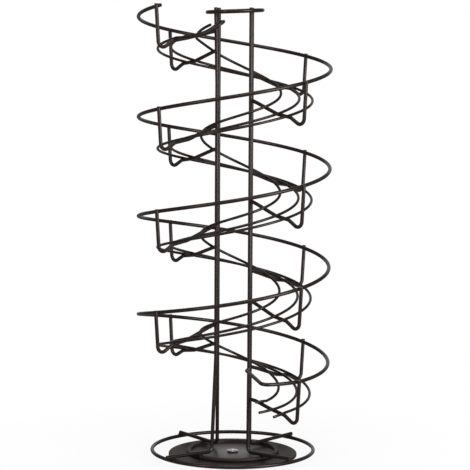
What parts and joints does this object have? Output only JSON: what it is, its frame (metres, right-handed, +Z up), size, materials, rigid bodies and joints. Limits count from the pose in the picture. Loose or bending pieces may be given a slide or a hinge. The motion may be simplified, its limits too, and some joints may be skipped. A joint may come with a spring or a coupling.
{
  "type": "rolling egg dispenser",
  "caption": "Free-standing egg rack of black wire: eggs roll down a railed spiral channel round a post column that turns on a low round swivel base.",
  "frame": {"origin": "on the table under the swivel axis", "axes": "+Z up along the swivel axis; -Y is the front, with the spiral's first support at the front left and its exit at the front right"},
  "size_m": [0.1784, 0.1784, 0.4166],
  "materials": {
    "black_wire": "satin brown-black powder coat on steel wire",
    "black_sheet": "semi-gloss black coat on pressed sheet steel",
    "bright_steel": "bright zinc-plated steel",
    "black_rubber": "matt black rubber",
    "white_nylon": "matt natural nylon"
  },
  "bodies": {
    "base": {"base_plate": "black_sheet", "foot_front": "black_rubber", "foot_right": "black_rubber", "foot_back": "black_rubber", "foot_left": "black_rubber", "pivot_screw": "bright_steel", "thrust_washer": "white_nylon", "lock_washer": "bright_steel"},
    "rack": {"swivel_dish": "black_sheet", "base_ring": "black_wire", "post_front_left": "black_wire", "post_front_right": "black_wire", "post_back_left": "black_wire", "post_back_right": "black_wire", "top_ring": "black_wire", "guard_rail": "black_wire", "track_rail_outer_pair": "black_wire", "track_rail_inner": "black_wire", "support_01": "black_wire", "support_02": "black_wire", "support_03": "black_wire", "support_04": "black_wire", "support_05": "black_wire", "support_06": "black_wire", "support_07": "black_wire", "support_08": "black_wire", "support_09": "black_wire", "support_10": "black_wire", "support_11": "black_wire", "support_12": "black_wire", "support_13": "black_wire", "support_14": "black_wire", "support_15": "black_wire", "support_16": "black_wire"}
  },
  "joints": [
    {"name": "swivel", "type": "hinge", "parent": "base", "child": "rack", "pos_m": [0, 0, 0.003], "axis": [0, 0, 1], "continuous": true}
  ]
}
